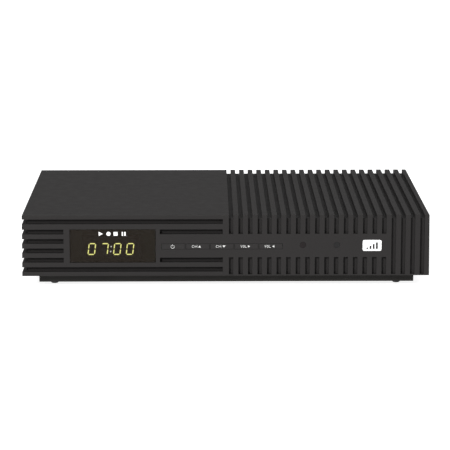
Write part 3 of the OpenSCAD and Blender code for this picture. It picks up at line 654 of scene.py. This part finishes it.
def digits():
    """Seven-bar digits and a colon; the bars that are lit read as a clock."""
    x, _, z = middle_of("display_segments")
    place = on_front(x, box_of("display_segments")[1][1], z)
    slant = math.tan(math.radians(7))
    lean = lambda u, v, d: place(u + v * slant, v, d)
    lit, unlit, colon = Shape(lean), Shape(lean), Shape(lean)
    t, inset, pitch = 0.66, 0.26, 8
    w, h = 4.7 - t, (7.6 - t) / 2
    bars = {"g": (-w / 2 + inset, 0, w - 2 * inset, 0), "a": (-w / 2 + inset, h, w - 2 * inset, 0),
            "d": (-w / 2 + inset, -h, w - 2 * inset, 0)}
    for name, side, half in (("f", -1, 1), ("e", -1, 0), ("b", 1, 1), ("c", 1, 0)):
        bars[name] = (side * w / 2, (half - 1) * h + inset, h - 2 * inset, 1)
    for k, shown in enumerate(("abcdef", "abc", "abcdef", "abcdef")):
        cx = (k - 1.5) * pitch
        for name, (u, v, length, up) in bars.items():
            outline = [(0, 0), (t / 2, -t / 2), (length - t / 2, -t / 2), (length, 0),
                       (length - t / 2, t / 2), (t / 2, t / 2)]
            if up:
                outline = [(-b, a) for a, b in outline]
            (lit if name in shown else unlit).prism([(cx + u + a, v + b) for a, b in outline], (-0.05, 0.14))
    for v in (-1.6, 1.6):
        colon.prism(arc((0, v), 0.5, 0, 340, 17), (-0.05, 0.14))
    lit.done("segments_lit", MATERIAL["digit_light"], replaces=("display_segments",), slot="digit_light",
             bevel=0.05)
    unlit.done("segments_unlit", UNLIT, bevel=0.05)
    colon.done("segments_colon", COLON, bevel=0.05)


refine("display_window", 0.25, "lens")
refine("display_module", 0.5)
refine("ir_window", 0.15)
refine("light_pipe", 0.15)
lens_mark()
digits()


# ---------------------------------------------------------------- keys and printed marks
def glyph(s, letter, x, w, h, line, depth):
    """One plain stroke letter, from x over a width w, centred in height."""
    a, b, mid, r = x + line / 2, x + w - line / 2, x + w / 2, (w - line) / 2
    v = (h - line) / 2
    oval = lambda start, stop, steps: [(mid + p * r, q * v) for p, q in arc((0, 0), 1, start, stop, steps)]
    if letter == "C":
        s.stroke(oval(48, 312, 14), line, depth)
    elif letter == "O":
        s.stroke(oval(0, 345, 23), line, depth, True)
    elif letter == "H":
        for u in (a, b):
            s.stroke([(u, -h / 2), (u, h / 2)], line, depth)
        s.stroke([(a + line / 2, 0), (b - line / 2, 0)], line, depth)
    elif letter == "V":
        s.stroke([(a, h / 2), (mid, -v), (b, h / 2)], line, depth)
    elif letter == "L":
        s.stroke([(a, h / 2), (a, -v), (x + w, -v)], line, depth)


def key_legends():
    """Plain key symbols: a power ring, channel up and down, volume up and down."""
    depth, line, power_line, height, gap = (-0.02, 0.015), 0.21, 0.24, 1.55, 0.28
    # letters, their left end, width of one letter, middle of the arrow and its corners
    marks = {"power": None,
             "channel_up": ("CH", -3.6, 1.5, 1.2, ((-0.85, -0.65), (0.85, -0.65), (0, 0.7))),
             "channel_down": ("CH", -3.9, 1.5, 1.2, ((-1.0, 0.65), (0, -0.7), (1.0, 0.65))),
             "volume_up": ("VOL", -3.75, 1.15, 1.5, ((-0.6, -0.75), (0.75, 0), (-0.6, 0.75))),
             "volume_down": ("VOL", -4.0, 1.15, 1.6, ((0.6, 0.75), (-0.75, 0), (0.6, -0.75)))}
    for key, mark in marks.items():
        x, _, z = middle_of("key_" + key)
        s = Shape(on_front(x, box_of("key_" + key)[0][1], z))
        if mark is None:
            s.stroke(arc((-0.4, -0.1), 1.05, 125, 415, 20), power_line, depth)
            s.stroke([(-0.4, 0.25), (-0.4, 1.35)], power_line, depth)
        else:
            letters, start, w, middle, arrow = mark
            for k, letter in enumerate(letters):
                glyph(s, letter, start + k * (w + gap), w, height, line, depth)
            s.prism([(middle + a, b) for a, b in arrow], depth)
        s.done("legend_" + key, LEGEND, key + "_key")


def badge():
    """A plain white plate with four rising signal bars, printed on the control band."""
    place = on_front(91.8, FRONT, TOP - 19.7)
    plate, bars = Shape(place), Shape(place)
    plate.prism(rounded((-5.9, 5.9), (-3.5, 3.5), 1.1), (-0.02, 0.015))
    plate.done("badge_plate", PRINT)
    for k in range(4):
        x = -3.6 + 2 * k
        bars.prism(rounded((x, x + 1.2), (-2.3, -1.3 + 1.1 * k), 0.3), (-0.01, 0.025))
    bars.done("badge_bars", MATERIAL["shell_plastic"])


for key in KEYS:
    refine("key_" + key, 0.12, "keycap_" + key)
    refine("plunger_" + key, 0.15)
    refine("switch_" + key, 0.2)
key_legends()
badge()


# ---------------------------------------------------------------- rear sockets
def aerial_sockets():
    """Barrels with fine screw ridges, a lip and an insulator with a centre hole."""
    panel = box_of("rear_panel")[1][1]
    pitch = 25.4 / 32
    for name in ("aerial_socket_in", "aerial_socket_out"):
        x, _, z = middle_of(name)
        start, end = box_of(name)[0][1], box_of(name)[1][1]
        place = on_rear(x, 0, z)
        profile = [(start, 0), (start, 6.0), (start + 0.2, 6.18), (panel - 1.3, 6.18), (panel - 1.12, 6.0),
                   (panel - 1.1, 4.58), (panel + 0.2, 4.58)]
        y = panel + 0.6
        while y < end - 1.2:
            profile += [(y, 4.3), (y + 0.32 * pitch, 4.7), (y + 0.48 * pitch, 4.7), (y + 0.8 * pitch, 4.3)]
            y += pitch
        profile += [(end - 0.55, 4.3), (end - 0.5, 4.45), (end - 0.15, 4.45), (end, 4.3), (end, 3.74),
                    (end - 0.12, 3.62), (panel + 0.2, 3.62), (panel + 0.2, 0)]
        Shape(place).turned(profile, 64).done(name + "_barrel", MATERIAL["plated_brass"],
                                              replaces=(name,), slot="plated_brass", angle=30)
        core = [(panel + 0.3, 0), (panel + 0.3, 3.58), (end - 1.0, 3.58), (end - 0.8, 3.4), (end - 0.8, 1.1),
                (end - 1.2, 0.62), (panel + 3.4, 0.55), (panel + 3.4, 0)]
        Shape(place).turned(core, 40).done(name + "_insulator", INSULATOR)


def socket_nuts():
    """Six-sided nuts whose corners are turned off at both faces."""
    lo, hi = box_of("socket_nuts")
    y0, y1 = lo[1], hi[1]
    flat = (hi[2] - lo[2]) / 2
    six = lambda a: flat / math.cos((a % (math.pi / 3)) - math.pi / 6)
    cut = lambda r: lambda a: min(six(a), r)
    wide = flat / math.cos(math.pi / 6)
    nuts = Shape()
    for name in ("aerial_socket_in", "aerial_socket_out"):
        x, _, z = middle_of(name)
        nuts.place = on_rear(x, 0, z)
        faces = [(y0 + 0.1 * k, cut(wide - 0.2 * (4 - k))) for k in range(4)]
        faces += [(y1 - 0.1 * k, cut(wide - 0.2 * (4 - k))) for k in range(3, -1, -1)]
        nuts.turned([(y0, 4.78)] + faces + [(y1, 4.9), (y1 - 0.12, 4.78)], 96, True)
    nuts.done("socket_nuts_body", MATERIAL["plated_steel"], replaces=("socket_nuts",), slot="plated_steel",
              angle=22)


def data_sockets():
    """HDMI, USB and network sockets with their contacts and lamps."""
    x, face = middle_of("hdmi_socket")[0], box_of("hdmi_socket")[1][1]

    def tongue(half, z0, z1, back):
        """Rule for the faces of a tongue inside the socket at x."""
        return lambda p: abs(p[0] - x) < half and z0 < p[2] < z1 and p[1] < face - back

    z = TOP_OF_BOARD
    refine("hdmi_socket", 0.15, parts=[(MATERIAL["socket_plastic"], tongue(5.2, z + 3.1, z + 4.4, 1.9))])
    pins = Shape(on_rear(x, face, z + 3.15))
    for k in range(10):
        pins.box((-4.5 + k - 0.17, -4.5 + k + 0.17), (-0.1, 0.1), (-10, -2.4))
    pins.done("hdmi_contacts", CONTACT, bevel=0.04)

    x, face = middle_of("usb_socket")[0], box_of("usb_socket")[1][1]
    refine("usb_socket", 0.15, parts=[(BLUE, tongue(5.6, z + 3.5, z + 5.5, 0.9))])
    pins = Shape(on_rear(x, face, z + 3.55))
    for u in (-3.5, -1, 1, 3.5):
        pins.box((u - 0.5, u + 0.5), (-0.08, 0.12), (-11, -2))
    pins.done("usb_contacts", CONTACT, bevel=0.05)

    x, face = middle_of("ethernet_socket")[0], box_of("ethernet_socket")[1][1]
    refine("ethernet_socket", 0.3)
    pins = Shape()
    for k in range(8):
        pins.place = beside(x - (k - 3.5) * 1.02, face, z)
        pins.stroke([(-13.5, 7.2), (-9.5, 7.6), (-4.5, 10.9), (-2.6, 11.5)], 0.3, (-0.18, 0.18))
    pins.done("network_contacts", CONTACT)
    for name, side, material in (("network_lamp_left", -1, GREEN), ("network_lamp_right", 1, AMBER)):
        lamp = Shape(on_rear(x, face, z))
        lamp.box(sorted((side * 4.2, side * 7.0)), (12.05, 13.1), (-0.6, 0.12))
        lamp.done(name, material, bevel=0.12)


def power_parts():
    """The 12 V inlet with its centre pin, and the rocker with its two marks."""
    x = middle_of("power_inlet")[0]
    pin = lambda p: math.hypot(p[0] - x, p[2] - TOP_OF_BOARD - 6.4) < 1.1
    refine("power_inlet", 0.2, parts=[(CONTACT, pin)])
    refine("rocker_housing", 0.25)
    refine("power_rocker", 0.25)
    centre = Vector((-36, REAR - 4, 26))
    tilt = Matrix.Rotation(math.radians(9), 3, "X")
    for name, sign in (("rocker_mark_on", 1), ("rocker_mark_off", -1)):
        slope = math.atan2(1.1, 5) * sign

        def place(u, v, d):
            """On the half of the rocker above or below its hinge: right, up along the face, out."""
            y = 4.05 + v * math.sin(slope) + d * math.cos(slope)
            z = sign * 2.5 + v * math.cos(slope) - d * math.sin(slope)
            return tuple(centre + tilt @ Vector((-u, y, z)))
        mark = Shape(place)
        if sign > 0:
            mark.stroke([(0, -1), (0, 1)], 0.34, (-0.03, 0.03))
        else:
            mark.stroke(arc((0, 0), 0.95, 0, 345, 23), 0.34, (-0.03, 0.03), True)
        mark.done(name, PRINT, "rocker")


aerial_sockets()
socket_nuts()
data_sockets()
refine("optical_socket", 0.25)
refine("optical_flap", 0.15)
power_parts()


# ---------------------------------------------------------------- inside
def capacitors():
    """Can capacitors: printed sleeve, bare top with a vent cross, crimped foot."""
    sleeve, top, stripe = Shape(), Shape(), Shape()
    z = TOP_OF_BOARD
    cans = [((-16 + 12 * k, 28), 5, 12.5) for k in range(2)]
    cans += [((10 + 8.5 * k, 32), 3.1, 8) for k in range(4)]
    for (x, y), r, h in cans:
        sleeve.place = top.place = stripe.place = upright(x, y, z)
        sleeve.turned([(0, 0), (0, r - 0.3), (0.2, r - 0.05), (1.1, r - 0.05), (1.35, r - 0.35),
                       (1.7, r - 0.35), (1.95, r - 0.05), (h - 0.5, r - 0.05), (h - 0.1, r - 0.35),
                       (h, r - 0.7), (h - 0.12, r - 0.9), (h - 0.3, 0)], 40)
        top.turned([(h - 0.35, 0), (h - 0.35, r - 0.85), (h - 0.08, r - 0.85), (h - 0.08, 0)], 40)
        for a, b in (((-0.5 * r, 0), (0.5 * r, 0)), ((0, 0.12), (0, 0.5 * r)), ((0, -0.12), (0, -0.5 * r))):
            top.stroke([a, b], 0.22, (h - 0.3, h - 0.04))
        stripe.stroke(arc((0, 0), r - 0.04, 200, 250, 8), 0.06, (2.2, h - 1))
    sleeve.done("capacitor_sleeves", MATERIAL["capacitor_sleeve"], replaces=("capacitors",),
                slot="capacitor_sleeve")
    top.done("capacitor_tops", TIN)
    stripe.done("capacitor_stripes", PRINT)


def small_parts():
    """Resistors, small capacitors and chip legs on the main board."""
    random.seed(7)
    lo, hi = box_of("main_board")
    z = TOP_OF_BOARD
    passed_over = ("main_board", "top_shell", "base_tray", "rear_panel", "machine_screws", "drive_cable")
    taken = [box_of(n) for n in frame["nodes"] if n not in passed_over]
    taken = [(a, b) for a, b in taken if a[2] < z + 3 and b[2] > z + 0.2]
    board_screws = ((-21, -45), (97, -45), (-21, 44), (97, 26))
    taken += [((x - 4, y - 4), (x + 4, y + 4)) for x, y in board_screws]
    bodies, chips, ends = Shape(), Shape(), Shape()
    spots = []
    for _ in range(900):
        x, y = random.uniform(lo[0] + 3, hi[0] - 3), random.uniform(lo[1] + 3, hi[1] - 16)
        if any(a[0] - 2 < x < b[0] + 2 and a[1] - 2 < y < b[1] + 2 for a, b in taken):
            continue
        if any(abs(x - p) < 2.6 and abs(y - q) < 2.6 for p, q in spots) or len(spots) > 150:
            continue
        spots.append((x, y))
        turn = random.random() < 0.5
        body = chips if random.random() < 0.3 else bodies
        half, side, height = (0.5, 0.45, 0.5) if random.random() < 0.6 else (0.75, 0.65, 0.75)
        for s, along, wider, taller in ((body, (-half, half), 0, 0),
                                        (ends, (-half - 0.35, -half), 0.02, 0.03),
                                        (ends, (half, half + 0.35), 0.02, 0.03)):
            across = (-side - wider, side + wider)
            s.place = upright(x, y, z)
            s.box(*((across, along) if turn else (along, across)), (0, height + taller))
    bodies.done("resistor_bodies", TAN, bevel=0.05)
    chips.done("dark_parts", MATERIAL["chip_plastic"], bevel=0.05)
    for y in (-22, -6, 10):
        ends.place = upright(62, y, z)
        for k in range(12):
            u = (k - 5.5) * 0.8
            for side in (-1, 1):
                ends.box((u - 0.16, u + 0.16), sorted((side * 4.45, side * 5.2)), (0.04, 0.22))
    ends.done("solder_ends", TIN, bevel=0.04)


def chokes():
    """Wound chokes with a ferrite cap."""
    core, wire = Shape(), Shape()
    for k in range(3):
        core.place = wire.place = upright(-14, 12 - 13 * k, TOP_OF_BOARD)
        for z0, z1 in ((0, 1.2), (3.8, 5)):
            core.prism(rounded((-5, 5), (-5, 5), 2), (z0, z1))
        core.turned([(1.2, 0), (1.2, 2.5), (3.8, 2.5), (3.8, 0)], 24)
        profile = []
        for row in range(6):
            z = 1.25 + 0.42 * row
            profile += [(z, 4.05), (z + 0.1, 4.25), (z + 0.21, 4.32), (z + 0.32, 4.25)]
        wire.turned([(1.25, 2.6)] + profile + [(3.77, 4.05), (3.77, 2.6)], 40, True)
    copper = surface("copper_wire", (0.65, 0.25, 0.1), 0.3, 1.0, mottle=(1, 0.1))
    core.done("choke_cores", MATERIAL["chip_plastic"], replaces=("inductors",), slot="chip_plastic",
              bevel=0.2)
    wire.done("choke_windings", copper, angle=80)


def platter_clamp():
    """Pressed ring and six small screws that hold the disc on its hub."""
    x, y, _ = middle_of("drive_platter")
    z = box_of("drive_platter")[1][2]
    ring = Shape(upright(x, y, z))
    ring.turned([(-0.05, 3.4), (0.2, 3.5), (0.32, 3.75), (0.32, 4.7), (0.14, 5.0), (0.14, 7.6), (0.32, 7.9),
                 (0.32, 8.9), (0.2, 9.2), (-0.05, 9.3)], 72, True)
    ring.done("platter_clamp", MATERIAL["cover_steel"], "platter")
    heads = Shape()
    for k in range(6):
        a = math.radians(60 * k + 30)
        heads.place = upright(x + 6.3 * math.cos(a), y + 6.3 * math.sin(a), z)
        heads.turned([(0.1, 0), (0.1, 1.1), (0.45, 1.1), (0.58, 0.95), (0.58, 0.55), (0.25, 0.5),
                      (0.25, 0)], 24)
    heads.done("platter_screws", MATERIAL["black_screw"], "platter")


capacitors()
chokes()
small_parts()
platter_clamp()
cable_plugs = lambda p: p[0] < -52 and p[1] > -50.04 and p[2] > 10.4 or p[0] > -18.1 and p[1] > -44.02
ribbon_film = lambda p: p[1] > -65.4 and (p[2] > 26.7 or p[1] > -46 and p[2] > TOP_OF_BOARD + 6.1)
refine("front_ribbon", 0.15, parts=[(FILM, ribbon_film)])
refine("drive_cable", 0.12, parts=[(MATERIAL["socket_plastic"], cable_plugs)])
EDGES = {
    "front_board": 0.1, "main_board": 0.1, "drive_board": 0.1, "ir_receiver": 0.25, "status_lamp": 0.2,
    "processor": 0.15, "heatsink": 0.2, "memory_chips": 0.12, "tuner_can": 0.2, "clock_cell": 0.25,
    "cell_holder": 0.2, "drive_casting": 0.4, "drive_cover": 0.15, "drive_platter": 0.1, "drive_arm": 0.15,
    "drive_bracket": 0.12,
}
for node, width in EDGES.items():
    refine(node, width)


# ---------------------------------------------------------------- stage and light
def make_stage():
    """A pale floor, an even white surround, a soft light from the left and a weaker one from high up."""
    mesh = bpy.data.meshes.new("floor")
    s = 9
    mesh.from_pydata([(-s, -s, 0), (s, -s, 0), (s, s, 0), (-s, s, 0)], [], [(0, 1, 2, 3)])
    floor = bpy.data.objects.new("floor", mesh)
    bpy.context.scene.collection.objects.link(floor)
    mesh.materials.append(surface("floor", (0.4, 0.4, 0.4), 0.9, specular=0.1, mottle=(300, 0.01),
                                  grain=(3, 0.01), glow=((1, 1, 1), 0.88)))
    world = bpy.data.worlds.new("studio")
    bpy.context.scene.world = world
    world.use_nodes = True
    world.node_tree.nodes["Background"].inputs["Color"].default_value = (1, 1, 1, 1)
    world.node_tree.nodes["Background"].inputs["Strength"].default_value = 0.62
    for name, watts, size, at in (("key_light", 84, 0.5, (-1.0, -2.3, 1.3)),
                                  ("top_light", 14.8, 0.6, (0.9, 0.15, 2.2))):
        lamp = bpy.data.lights.new(name, "AREA")
        lamp.energy, lamp.size = watts, size
        obj = bpy.data.objects.new(name, lamp)
        bpy.context.scene.collection.objects.link(obj)
        obj.location = at
        obj.rotation_euler = (Vector((0, 0, 0.02)) - obj.location).to_track_quat("-Z", "Y").to_euler()
    bpy.context.scene.view_settings.view_transform = "Standard"


make_stage()
